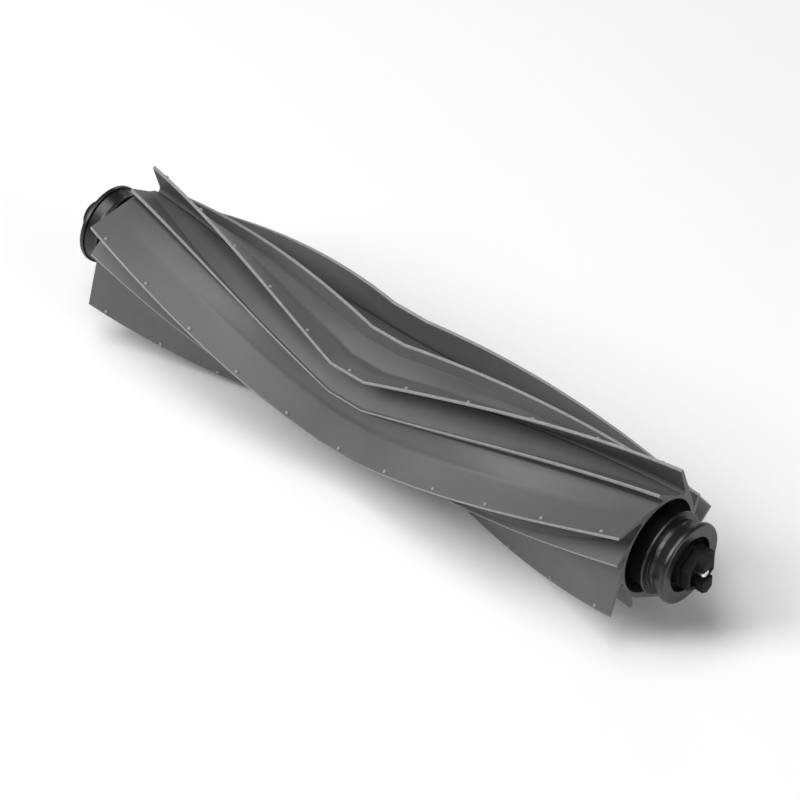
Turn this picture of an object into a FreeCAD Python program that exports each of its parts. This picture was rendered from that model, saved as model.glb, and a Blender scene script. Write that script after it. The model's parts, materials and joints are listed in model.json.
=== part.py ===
"""Roller brush of a robot vacuum: chevron rubber sleeve on a core, with a bearing cover on each end.

The roller turns about X, with its drive end at +X and Z up. The origin is on the axis, at the
middle of the sleeve. End pieces are modelled at +X, and the idle end's are turned half round Z.
"""
import FreeCAD, Part
import os

import Sketcher

# Driving sizes in millimetres and degrees: name, value, what it measures.
# Depths and reaches are measured from the sleeve's end plane, inward and outward.
SIZES = [
    ("sleeve_length", 172.5, "rubber sleeve, end to end"),
    ("sleeve_radius", 13.5, "outside of the sleeve's wall"),
    ("core_radius", 11.4, "outside of the core tube"),
    ("core_wall", 1.9, "wall of the core tube"),
    ("blade_count", 5, "tall blades, and as many short ones"),
    ("tall_tip_radius", 21.0, "reach of a tall blade"),
    ("tall_offset", 14.1, "outer face of a tall blade from the axis"),
    ("tall_tip_angle", 66.6, "first tall tip at the sleeve's ends, from Y towards Z"),
    ("foot_slide", 1.9, "tall foot along its blade, at the middle of the sleeve"),
    ("foot_drop", 0.5, "tall foot towards the axis, at the middle of the sleeve"),
    ("crease_run", 7.2, "foot of a tall blade to its crease"),
    ("crease_drop", 2.1, "dip of the crease at the middle of the sleeve"),
    ("crease_thickness", 1.25, "thickness of a tall blade at its crease"),
    ("crease_thinning", 0.6, "loss of that thickness at the middle of the sleeve"),
    ("crease_slide", 1.7, "underside of the crease along the blade, at the middle of the sleeve"),
    ("short_tip_radius", 17.0, "reach of a short blade"),
    ("short_offset", 13.7, "outer face of a short blade from the axis"),
    ("tip_thickness", 1.0, "thickness of every blade at its tip"),
    ("pocket_lead", 8.0, "bottom of a pocket before the next blade's foot, at the sleeve's ends"),
    ("tall_closing", 7.0, "pocket under a tall blade, closing towards the middle"),
    ("short_closing", 15.0, "pocket under a short blade, closing towards the middle"),
    ("twist", 68.3, "turn of a blade from the end to the middle"),
    ("vertex_length", 10.6, "straight middle of the chevron"),
    ("lip_radius", 12.7, "inside of the sleeve's end lip"),
    ("recess_depth", 4.5, "end plane down to the end plug's face"),
    ("disc_thickness", 2.0, "end plug's disc"),
    ("spigot_length", 12.0, "end plug inside the core tube"),
    ("journal_radius", 6.0, "end plug's bearing journal"),
    ("journal_reach", 4.0, "front of the journal"),
    ("shank_radius", 4.2, "shank of the drive key and of the idle stub"),
    ("shank_length", 12.0, "shank of the drive key and of the idle stub"),
    ("key_flats", 10.2, "drive key across its flats"),
    ("key_reach", 13.2, "front of the drive key's hexagon"),
    ("key_wall", 1.0, "wall of the drive key's hexagon"),
    ("key_hollow", 4.0, "depth of the drive key's hollows"),
    ("jaw_reach", 15.2, "front of the drive key's jaws"),
    ("jaw_width", 3.8, "width of the drive key's jaws"),
    ("jaw_gap", 3.0, "slot between the drive key's jaws"),
    ("jaw_gap_depth", 3.5, "depth of that slot"),
    ("key_groove_reach", 10.1, "back of the groove round the drive key"),
    ("key_groove_width", 0.5, "groove round the drive key"),
    ("key_groove_depth", 0.25, "groove round the drive key, below its flats"),
    ("pin_radius", 1.25, "steel pin in the drive key and in the idle stub"),
    ("pin_reach", 14.6, "front of the steel pin"),
    ("pin_bevel", 0.5, "bevelled front of the steel pin"),
    ("stub_radius", 4.0, "idle stub, outside the cover"),
    ("stub_reach", 15.2, "front of the idle stub"),
    ("stub_bevel", 0.8, "lead-in of the idle stub"),
    ("stub_shoulder", 5.0, "shoulder of the idle stub, inside the cover"),
    ("shoulder_reach", 9.8, "front of that shoulder"),
    ("seat_radius", 8.6, "bush seat in the end cover"),
    ("bush_length", 7.0, "bearing bush"),
    ("hub_radius", 10.2, "inner hub of the end cover"),
    ("flange_radius", 11.1, "flange of the end cover"),
    ("flange_reach", 4.0, "outer face of the flange"),
    ("flange_thickness", 0.7, "flange of the end cover"),
    ("neck_radius", 9.4, "hair groove of the end cover, beside its flange"),
    ("flare_reach", 5.8, "where the hair groove starts to flare"),
    ("flare_radius", 10.2, "flare of the hair groove, at the rim"),
    ("rim_radius", 10.8, "rim of the end cover"),
    ("rim_width", 1.4, "rim of the end cover"),
    ("rim_bevel", 0.7, "bevelled front edge of the rim"),
    ("cover_reach", 9.8, "front of the end cover"),
    ("cover_bore", 7.4, "mouth of the end cover, round the key"),
    ("felt_thickness", 0.8, "felt dust ring"),
    ("felt_radius", 10.0, "felt dust ring"),
    ("ring_section", 0.7, "snap ring, along the axis"),
    ("ring_height", 0.95, "snap ring, in and out"),
    ("ring_reach", 1.1, "back of the snap ring"),
    ("ring_gap", 2.0, "opening of the split snap ring"),
    ("ring_stand", 0.4, "snap ring, out of the journal"),
    ("ring_room", 0.2, "room round the snap ring in its grooves"),
    ("running_fit", 0.05, "journal in its bush, on the radius"),
    ("seat_fit", 0.02, "pieces that are pressed or pushed home, on the radius"),
    ("end_play", 0.3, "cover and bush from the felt ring"),
    ("lip_gap", 0.1, "end plug's disc inside the sleeve's lip"),
]

# Lofted sections of a blade, from the chevron's middle to the sleeve's end.
SECTION_STEPS = 4

# A coordinate under this many millimetres lies on the sketch's own axis.
NEAR_ZERO = 1e-9

HALF = "Sizes.sleeve_length / 2"

doc = FreeCAD.newDocument("roller_brush")


def make_sheet():
    """Spreadsheet that drives every size."""
    table = doc.addObject("Spreadsheet::Sheet", "Sizes")
    for row, (name, value, meaning) in enumerate(SIZES, start=1):
        table.set(f"A{row}", name)
        table.set(f"B{row}", str(value))
        table.set(f"C{row}", meaning)
        table.setAlias(f"B{row}", name)
    doc.recompute()
    return table


sheet = make_sheet()


def value_of(expression):
    """Plain number of an expression in the sheet's names."""
    result = sheet.evalExpression(expression)
    return float(getattr(result, "Value", result))


def outward(name):
    """Place along X, a named distance outside the sleeve's end plane."""
    return f"{HALF} + Sizes.{name}"


def origin_part(body, role):
    """Plane or axis of the body's own origin."""
    return next(part for part in body.Origin.OriginFeatures if part.Role == role)


def new_body(label):
    """Empty body for one sub-part."""
    body = doc.addObject("PartDesign::Body", label)
    body.Label = label
    return body


def new_sketch(body, name, plane, along="0", turn="0 deg"):
    """Sketch on an origin plane, moved along the plane's normal and turned about it."""
    sketch = body.newObject("Sketcher::SketchObject", name)
    sketch.AttachmentSupport = [(origin_part(body, plane), "")]
    sketch.MapMode = "FlatFace"
    spin = FreeCAD.Rotation(FreeCAD.Vector(0, 0, 1), value_of(turn))
    sketch.AttachmentOffset = FreeCAD.Placement(FreeCAD.Vector(0, 0, value_of(along)), spin)
    sketch.setExpression("AttachmentOffset.Base.z", along)
    sketch.setExpression("AttachmentOffset.Rotation.Angle", turn)
    return sketch


def hold(sketch, kind, point, expression):
    """Tie one coordinate of a line's start point to an expression."""
    distance = value_of(expression)
    if abs(distance) < NEAR_ZERO:
        axis = -2 if kind == "DistanceX" else -1
        sketch.addConstraint(Sketcher.Constraint("PointOnObject", point, 1, axis))
        return
    if distance > 0:
        tie = Sketcher.Constraint(kind, -1, 1, point, 1, distance)
    else:
        tie = Sketcher.Constraint(kind, point, 1, -1, 1, -distance)
        expression = f"-({expression})"
    index = sketch.addConstraint(tie)
    sketch.setExpression(f"Constraints[{index}]", expression)


def draw_outline(sketch, corners):
    """Closed outline through corners that are pairs of expressions."""
    points = [FreeCAD.Vector(value_of(across), value_of(up), 0) for across, up in corners]
    first = sketch.GeometryCount
    count = len(points)
    for index in range(count):
        sketch.addGeometry(Part.LineSegment(points[index], points[(index + 1) % count]))
    for index in range(count):
        following = first + (index + 1) % count
        sketch.addConstraint(Sketcher.Constraint("Coincident", first + index, 2, following, 1))
    for index, (across, up) in enumerate(corners):
        hold(sketch, "DistanceX", first + index, across)
        hold(sketch, "DistanceY", first + index, up)


def draw_circle(sketch, radius):
    """Circle round the sketch's origin."""
    circle = Part.Circle(FreeCAD.Vector(0, 0, 0), FreeCAD.Vector(0, 0, 1), value_of(radius))
    index = sketch.addGeometry(circle)
    sketch.addConstraint(Sketcher.Constraint("Coincident", index, 3, -1, 1))
    tie = sketch.addConstraint(Sketcher.Constraint("Radius", index, value_of(radius)))
    sketch.setExpression(f"Constraints[{tie}]", radius)


def turn_profile(body, name, corners):
    """Solid of revolution about X from corners given as (along, radius)."""
    sketch = new_sketch(body, f"{name}_profile", "XZ_Plane")
    draw_outline(sketch, corners)
    turned = body.newObject("PartDesign::Revolution", name)
    turned.Profile = sketch
    turned.ReferenceAxis = (sketch, ["H_Axis"])
    turned.Angle = 360
    doc.recompute()
    return turned


def push(body, kind, name, sketch, length, inward=False):
    """Pad or Pocket of a sketch across the axis; inward runs towards the sleeve."""
    feature = body.newObject(f"PartDesign::{kind}", name)
    feature.Profile = sketch
    feature.setExpression("Length", length)
    feature.Reversed = inward if kind == "Pad" else not inward
    doc.recompute()
    return feature


def place_end(body, drive_end):
    """Leave a drive piece where it is, and turn an idle piece half round Z."""
    turn = 0 if drive_end else 180
    body.Placement = FreeCAD.Placement(
        FreeCAD.Vector(0, 0, 0), FreeCAD.Rotation(FreeCAD.Vector(0, 0, 1), turn))
    return body


def rotated(out, along, angle):
    """Corner of a blade standing at an angle round the axis, as (Y, Z) expressions."""
    across = f"({out}) * cos({angle}) - ({along}) * sin({angle})"
    up = f"({out}) * sin({angle}) + ({along}) * cos({angle})"
    return across, up


def blade_corners(blade, foot_angle, middle_share):
    """One leaning blade from its foot out to its tip and back to the pocket beneath it."""
    outer = f"Sizes.{blade}_offset"
    run = f"sqrt(Sizes.{blade}_tip_radius ^ 2 - Sizes.{blade}_offset ^ 2)"
    lead = f"(Sizes.pocket_lead - Sizes.{blade}_closing * {middle_share})"
    pocket_angle = f"({foot_angle} + 180 deg / Sizes.blade_count - {lead} * 1 deg)"
    flat = [(outer, "0"), (outer, run), (f"{outer} - Sizes.tip_thickness", run)]
    shape = folded(flat, middle_share) if blade == "tall" else flat
    corners = [rotated(out, along, foot_angle) for out, along in shape]
    return corners + [rotated("Sizes.sleeve_radius", "0", pocket_angle)]


def folded(flat, middle_share):
    """Tall blade with its crease: flat at the sleeve's ends, folded at the middle."""
    outer = flat[0][0]
    foot = (f"{outer} - Sizes.foot_drop * {middle_share}", f"Sizes.foot_slide * {middle_share}")
    crease = f"{outer} - Sizes.crease_drop * {middle_share}"
    thickness = f"(Sizes.crease_thickness - Sizes.crease_thinning * {middle_share})"
    underside = (f"{crease} - {thickness}", f"Sizes.crease_run + Sizes.crease_slide * {middle_share}")
    return [foot, (crease, "Sizes.crease_run")] + flat[1:] + [underside]


def section_corners(middle_share):
    """Outline of the whole sleeve across its axis: tall and short blades in turn."""
    corners = []
    first = "(Sizes.tall_tip_angle * 1 deg - acos(Sizes.tall_offset / Sizes.tall_tip_radius))"
    for index in range(int(value_of("Sizes.blade_count"))):
        tall_foot = f"({first} + 360 deg / Sizes.blade_count * {index})"
        short_foot = f"({tall_foot} + 180 deg / Sizes.blade_count)"
        corners += blade_corners("tall", tall_foot, middle_share)
        corners += blade_corners("short", short_foot, middle_share)
    return corners


def make_rubber_sleeve():
    """One rubber moulding: wall, tall and short chevron blades, and a lip at each end."""
    body = new_body("rubber_sleeve")
    middle = "Sizes.vertex_length / 2"
    sections = []
    for step in range(SECTION_STEPS + 1):
        share = f"{step} / {SECTION_STEPS}"
        along = f"{middle} + ({HALF} - {middle}) * {share}"
        turn = f"Sizes.twist * 1 deg * (1 - {share})"
        sketch = new_sketch(body, f"section_{step}", "YZ_Plane", along, turn)
        draw_outline(sketch, section_corners(f"(1 - {share})"))
        sections.append(sketch)
    doc.recompute()
    loft = body.newObject("PartDesign::AdditiveLoft", "twisted_half")
    loft.Profile = sections[0]
    loft.Sections = sections[1:]
    doc.recompute()
    push(body, "Pad", "straight_middle", sections[0], middle, inward=True)
    bore = new_sketch(body, "bore_outline", "YZ_Plane", HALF)
    draw_circle(bore, "Sizes.core_radius + Sizes.seat_fit")
    push(body, "Pocket", "bore", bore, HALF, inward=True)
    mouth = new_sketch(body, "lip_mouth", "YZ_Plane", HALF)
    draw_circle(mouth, "Sizes.lip_radius")
    push(body, "Pocket", "lip_recess", mouth, "Sizes.recess_depth + Sizes.disc_thickness", inward=True)
    mirror = body.newObject("PartDesign::Mirrored", "both_halves")
    mirror.TransformMode = "Whole shape"
    mirror.MirrorPlane = (origin_part(body, "YZ_Plane"), [""])
    body.Tip = mirror
    doc.recompute()
    return body


def make_core_tube():
    """Rigid tube inside the sleeve, between the two end plugs."""
    body = new_body("core_tube")
    end = f"{HALF} - Sizes.recess_depth - Sizes.disc_thickness"
    inside = "Sizes.core_radius - Sizes.core_wall"
    turn_profile(body, "tube", [
        (f"-({end})", inside), (end, inside), (end, "Sizes.core_radius"),
        (f"-({end})", "Sizes.core_radius")])
    return body


def make_end_plug(label, drive_end):
    """Plug in the core tube: spigot, disc, and the journal that its bush runs on."""
    body = new_body(label)
    front = outward("journal_reach")
    face = f"{HALF} - Sizes.recess_depth"
    disc_back = f"{face} - Sizes.disc_thickness"
    spigot_back = f"{disc_back} - Sizes.spigot_length"
    spigot = "Sizes.core_radius - Sizes.core_wall - Sizes.seat_fit"
    socket = "Sizes.shank_radius + Sizes.seat_fit"
    journal = "Sizes.journal_radius"
    disc = "Sizes.lip_radius - Sizes.lip_gap"
    groove = f"{journal} + Sizes.ring_stand - Sizes.ring_height - Sizes.ring_room"
    groove_back = f"{outward('ring_reach')} - Sizes.ring_room"
    groove_front = f"{outward('ring_reach')} + Sizes.ring_section + Sizes.ring_room"
    turn_profile(body, "plug", [
        (spigot_back, socket), (front, socket), (front, journal),
        (groove_front, journal), (groove_front, groove), (groove_back, groove), (groove_back, journal),
        (face, journal), (face, disc), (disc_back, disc), (disc_back, spigot), (spigot_back, spigot)])
    return place_end(body, drive_end)


def make_drive_key():
    """Moulded hexagonal drive key: hollowed flanks, and two jaws across its front."""
    body = new_body("drive_key")
    back = outward("journal_reach")
    shank = new_sketch(body, "shank_outline", "YZ_Plane", back)
    draw_circle(shank, "Sizes.shank_radius")
    push(body, "Pad", "shank", shank, "Sizes.shank_length", inward=True)
    flat = "Sizes.key_flats / 2"
    hexagon = new_sketch(body, "hexagon_outline", "YZ_Plane", back)
    draw_outline(hexagon, hexagon_corners(flat))
    push(body, "Pad", "hexagon", hexagon, "Sizes.key_reach - Sizes.journal_reach")
    hollows = new_sketch(body, "hollow_outlines", "YZ_Plane", outward("key_reach"))
    for side in ("", "-"):
        draw_outline(hollows, hollow_corners(f"({flat} - Sizes.key_wall)", side))
    push(body, "Pocket", "hollows", hollows, "Sizes.key_hollow", inward=True)
    jaws = new_sketch(body, "jaw_outline", "YZ_Plane", outward("key_reach"))
    draw_outline(jaws, jaw_corners(flat))
    push(body, "Pad", "jaws", jaws, "Sizes.jaw_reach - Sizes.key_reach")
    gap = new_sketch(body, "jaw_gap_outline", "YZ_Plane", outward("jaw_reach"))
    draw_outline(gap, rectangle_corners("Sizes.jaw_width / 2", "Sizes.jaw_gap / 2"))
    push(body, "Pocket", "jaw_gap", gap, "Sizes.jaw_gap_depth", inward=True)
    hole = new_sketch(body, "pin_hole_outline", "YZ_Plane", outward("jaw_reach"))
    draw_circle(hole, "Sizes.pin_radius + Sizes.seat_fit")
    push(body, "Pocket", "pin_hole", hole,
         "Sizes.jaw_reach - Sizes.journal_reach + Sizes.shank_length", inward=True)
    ring = new_sketch(body, "groove_profile", "XZ_Plane")
    bottom = f"{flat} - Sizes.key_groove_depth"
    groove_back = outward("key_groove_reach")
    groove_front = f"{groove_back} + Sizes.key_groove_width"
    draw_outline(ring, [
        (groove_back, bottom), (groove_front, bottom),
        (groove_front, "Sizes.key_flats"), (groove_back, "Sizes.key_flats")])
    groove = body.newObject("PartDesign::Groove", "key_groove")
    groove.Profile = ring
    groove.ReferenceAxis = (ring, ["H_Axis"])
    groove.Angle = 360
    doc.recompute()
    return body


def hexagon_corners(flat):
    """Hexagon with corners at the top and the bottom, from its inner radius."""
    side = f"{flat} / sqrt(3)"
    return [
        (flat, f"-{side}"), (flat, side), ("0", f"2 * {side}"),
        (f"-{flat}", side), (f"-{flat}", f"-{side}"), ("0", f"-2 * {side}")]


def jaw_corners(flat):
    """Bar across the hexagon from corner to corner, as wide as the jaws."""
    half = "Sizes.jaw_width / 2"
    peak = f"2 * {flat} / sqrt(3)"
    shoulder = f"({peak} - {half} / sqrt(3))"
    return [
        (half, f"-{shoulder}"), (half, shoulder), ("0", peak),
        (f"-{half}", shoulder), (f"-{half}", f"-{shoulder}"), ("0", f"-{peak}")]


def hollow_corners(flat, side):
    """Hollow in one flank of the hexagon, beside the jaws' bar."""
    half = "Sizes.jaw_width / 2"
    corner = f"{flat} / sqrt(3)"
    shoulder = f"(2 * {flat} / sqrt(3) - {half} / sqrt(3))"
    return [
        (f"{side}{half}", f"-{shoulder}"), (f"{side}{flat}", f"-{corner}"),
        (f"{side}{flat}", corner), (f"{side}{half}", shoulder)]


def rectangle_corners(half_across, half_up):
    """Rectangle round the sketch's origin."""
    return [
        (half_across, f"-{half_up}"), (half_across, half_up),
        (f"-{half_across}", half_up), (f"-{half_across}", f"-{half_up}")]


def make_idle_stub():
    """Round stub that carries the idle end, on the same shank as the drive key."""
    body = new_body("idle_stub")
    seat = outward("journal_reach")
    back = f"{seat} - Sizes.shank_length"
    shoulder = outward("shoulder_reach")
    front = outward("stub_reach")
    hole = "Sizes.pin_radius + Sizes.seat_fit"
    turn_profile(body, "stub", [
        (back, hole), (front, hole), (front, "Sizes.stub_radius - Sizes.stub_bevel"),
        (f"{front} - Sizes.stub_bevel", "Sizes.stub_radius"), (shoulder, "Sizes.stub_radius"),
        (shoulder, "Sizes.stub_shoulder"), (seat, "Sizes.stub_shoulder"),
        (seat, "Sizes.shank_radius"), (back, "Sizes.shank_radius")])
    return place_end(body, drive_end=False)


def make_steel_pin(label, drive_end):
    """Steel pin through the middle of the key or the stub, with a bevelled front."""
    body = new_body(label)
    back = f"{outward('journal_reach')} - Sizes.shank_length"
    front = outward("pin_reach")
    turn_profile(body, "pin", [
        (back, "0"), (front, "0"), (front, "Sizes.pin_radius - Sizes.pin_bevel"),
        (f"{front} - Sizes.pin_bevel", "Sizes.pin_radius"), (back, "Sizes.pin_radius")])
    return place_end(body, drive_end)


def hub_back():
    """Inner end of a cover and its bush, clear of the felt ring."""
    return f"{HALF} - Sizes.recess_depth + Sizes.felt_thickness + Sizes.end_play"


def make_end_cover(label, drive_end):
    """Spool-shaped cover that seats in the robot: hub, flange, hair groove and rim."""
    body = new_body(label)
    back = hub_back()
    front = outward("cover_reach")
    rim_back = f"{front} - Sizes.rim_width"
    flange = outward("flange_reach")
    flange_back = f"{flange} - Sizes.flange_thickness"
    step = f"{back} + Sizes.bush_length"
    turn_profile(body, "spool", [
        (back, "Sizes.seat_radius"), (step, "Sizes.seat_radius"), (step, "Sizes.cover_bore"),
        (front, "Sizes.cover_bore"), (front, "Sizes.rim_radius - Sizes.rim_bevel"),
        (f"{front} - Sizes.rim_bevel", "Sizes.rim_radius"), (rim_back, "Sizes.rim_radius"),
        (rim_back, "Sizes.flare_radius"), (outward("flare_reach"), "Sizes.neck_radius"),
        (flange, "Sizes.neck_radius"), (flange, "Sizes.flange_radius"), (flange_back, "Sizes.flange_radius"),
        (flange_back, "Sizes.hub_radius"), (back, "Sizes.hub_radius")])
    return place_end(body, drive_end)


def make_bush(label, drive_end):
    """Plain bearing bush in the cover, grooved inside for the snap ring."""
    body = new_body(label)
    back = hub_back()
    front = f"{back} + Sizes.bush_length"
    bore = "Sizes.journal_radius + Sizes.running_fit"
    outside = "Sizes.seat_radius - Sizes.seat_fit"
    groove = "Sizes.journal_radius + Sizes.ring_stand + Sizes.ring_room"
    groove_back = f"{outward('ring_reach')} - Sizes.ring_room"
    groove_front = f"{outward('ring_reach')} + Sizes.ring_section + Sizes.ring_room"
    turn_profile(body, "bush", [
        (back, bore), (groove_back, bore), (groove_back, groove), (groove_front, groove),
        (groove_front, bore), (front, bore), (front, outside), (back, outside)])
    return place_end(body, drive_end)


def make_felt_ring(label, drive_end):
    """Felt ring that keeps hair and dust out of the bush, against the end plug."""
    body = new_body(label)
    back = f"{HALF} - Sizes.recess_depth"
    front = f"{back} + Sizes.felt_thickness"
    inside = "Sizes.journal_radius + Sizes.seat_fit"
    turn_profile(body, "felt", [
        (back, inside), (front, inside), (front, "Sizes.felt_radius"), (back, "Sizes.felt_radius")])
    return place_end(body, drive_end)


def make_snap_ring(label, drive_end):
    """Split spring ring in the journal's groove that snaps into the bush."""
    body = new_body(label)
    back = outward("ring_reach")
    front = f"{back} + Sizes.ring_section"
    outside = "Sizes.journal_radius + Sizes.ring_stand"
    inside = f"{outside} - Sizes.ring_height"
    below = f"-({outside} + Sizes.ring_height)"
    above = f"-({inside} - Sizes.ring_height)"
    turn_profile(body, "ring", [(back, inside), (front, inside), (front, outside), (back, outside)])
    opening = new_sketch(body, "ring_opening", "YZ_Plane", front)
    half_gap = "Sizes.ring_gap / 2"
    draw_outline(opening, [
        (half_gap, below), (half_gap, above), (f"-{half_gap}", above), (f"-{half_gap}", below)])
    push(body, "Pocket", "split", opening, "Sizes.ring_section", inward=True)
    return place_end(body, drive_end)


def make_sub_parts():
    """Every physical piece of the roller, each an object with its own label."""
    pieces = [make_rubber_sleeve(), make_core_tube(), make_drive_key(), make_idle_stub()]
    for side in ("drive", "idle"):
        at_drive = side == "drive"
        pieces.append(make_end_plug(f"{side}_end_plug", at_drive))
        pieces.append(make_steel_pin(f"{side}_pin", at_drive))
        pieces.append(make_end_cover(f"{side}_cover", at_drive))
        pieces.append(make_bush(f"{side}_bush", at_drive))
        pieces.append(make_felt_ring(f"{side}_felt_ring", at_drive))
        pieces.append(make_snap_ring(f"{side}_snap_ring", at_drive))
    return pieces


def check_objects():
    """Stop if any object of the document failed."""
    for item in doc.Objects:
        if "Invalid" in item.State or "Error" in item.State:
            raise RuntimeError(f"{item.Name} failed: {item.State}")


def check_solid(piece):
    """Stop if a sub-part is missing, broken or not one solid."""
    shape = piece.Shape
    if shape.isNull() or not shape.isValid() or len(shape.Solids) != 1:
        raise RuntimeError(f"{piece.Label} is not one valid solid")


def main():
    """Build the document, check it and write one file for each sub-part."""
    pieces = make_sub_parts()
    doc.recompute()
    check_objects()
    os.makedirs("parts", exist_ok=True)
    for piece in pieces:
        check_solid(piece)
    for piece in pieces:
        piece.Shape.exportStep(f"parts/{piece.Label}.step")
        print(f"{piece.Label}: {piece.Shape.Volume:.1f} mm3")


main()
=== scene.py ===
"""Roller brush of a robot vacuum: rubber sleeve, end fittings, finishes and a small studio."""
import json
import math
from typing import NamedTuple

import bmesh
import bpy
from mathutils import Matrix, Vector
from mathutils.geometry import delaunay_2d_cdt


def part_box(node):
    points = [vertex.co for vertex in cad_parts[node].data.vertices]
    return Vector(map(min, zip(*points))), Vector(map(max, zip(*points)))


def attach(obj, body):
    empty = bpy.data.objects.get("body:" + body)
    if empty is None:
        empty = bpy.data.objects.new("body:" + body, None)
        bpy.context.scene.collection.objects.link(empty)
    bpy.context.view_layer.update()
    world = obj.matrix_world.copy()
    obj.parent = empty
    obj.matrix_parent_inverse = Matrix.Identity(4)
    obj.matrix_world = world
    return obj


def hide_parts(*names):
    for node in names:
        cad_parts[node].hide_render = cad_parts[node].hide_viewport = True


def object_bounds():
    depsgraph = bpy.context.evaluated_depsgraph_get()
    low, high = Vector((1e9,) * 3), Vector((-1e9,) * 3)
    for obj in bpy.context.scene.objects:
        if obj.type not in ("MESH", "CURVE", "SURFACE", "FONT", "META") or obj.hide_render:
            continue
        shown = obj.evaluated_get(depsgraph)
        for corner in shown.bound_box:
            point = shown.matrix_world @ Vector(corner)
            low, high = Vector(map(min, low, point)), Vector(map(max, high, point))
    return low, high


bl_info = {
    "name": "Robot Vacuum Roller Brush",
    "version": (1, 0, 0),
    "blender": (4, 5, 0),
    "location": "View3D > Sidebar > Roller Brush",
    "description": "Builds a roller brush with chevron rubber blades, and a studio around it",
    "category": "Object",
}

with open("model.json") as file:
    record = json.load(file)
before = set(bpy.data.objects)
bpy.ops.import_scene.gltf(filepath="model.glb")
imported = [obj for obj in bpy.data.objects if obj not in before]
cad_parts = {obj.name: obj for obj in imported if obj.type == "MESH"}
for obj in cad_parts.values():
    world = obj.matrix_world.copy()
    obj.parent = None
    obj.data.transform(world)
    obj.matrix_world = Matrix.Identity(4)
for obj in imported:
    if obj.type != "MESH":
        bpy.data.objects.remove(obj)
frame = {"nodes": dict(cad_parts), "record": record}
CAD_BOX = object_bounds()

MM = 0.001
FINISHES = {}

# Mesh density: arcs of an outline, turned pieces, nubs and rings of the sleeve's skin.
ARC_STEPS = 4
LATHE_STEPS = 128
NUB_STEPS = 12
RINGS = 65
# Share of the rings that the chevron's straight middle takes.
MIDDLE_SHARE = 1 / 16
# Longest share of a side that an arc may take, and the support point past its ends.
CORNER_ROOM = 0.4
SUPPORT_ROOM = 0.08
SUPPORT = 0.1 * MM
# Half of a corner's angle from which its sides are one straight line.
STRAIGHT = math.radians(89.8)
# Points that bend a tall blade's root, as shares of the way to its crease.
ROOT_BENDS = (1 / 3, 2 / 3)
# Points this close are one point.
SEAM = 0.0001 * MM
# Triangulation that keeps what lies inside its outlines.
INSIDE = 1
# Depth of a nub's root in the blade, and the rings above it, as shares of its height and radius.
NUB_ROOT = 0.4
NUB_DOME = ((0.45, 1.0), (0.75, 0.86), (0.93, 0.55))
# Faces that meet at less than this are shaded as one.
SMOOTH_UNDER = math.radians(50)
# Edges of the drive key: flat ones are dissolved, and steep ones softened in this many steps.
FLAT_UNDER = math.radians(1)
BEVEL_OVER = math.radians(25)
BEVEL_STEPS = 3
# Width of a noise's usual range, round its middle.
NOISE_SPAN = 0.4
SENSOR_WIDTH = 36.0
SLEEVE_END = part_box("rubber_sleeve")[1].x
SIDES = {"drive": 1, "idle": -1}
COVER_BODY = {"drive": "drive_end", "idle": "idle_end"}


def length(label, millimetres, meaning):
    """Length property with its default in millimetres."""
    return bpy.props.FloatProperty(
        name=label, description=meaning, default=millimetres * MM, unit="LENGTH", precision=5)


def angle(label, degrees, meaning):
    """Angle property with its default in degrees."""
    return bpy.props.FloatProperty(
        name=label, description=meaning, default=math.radians(degrees), subtype="ANGLE")


def colour(label, value, meaning):
    """Colour property."""
    return bpy.props.FloatVectorProperty(
        name=label, description=meaning, default=value, size=3, min=0, max=1, subtype="COLOR")


def number(label, value, meaning):
    """Plain number property."""
    return bpy.props.FloatProperty(name=label, description=meaning, default=value)


def count(label, value, meaning):
    """Whole number property."""
    return bpy.props.IntProperty(name=label, description=meaning, default=value, min=1)


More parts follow.
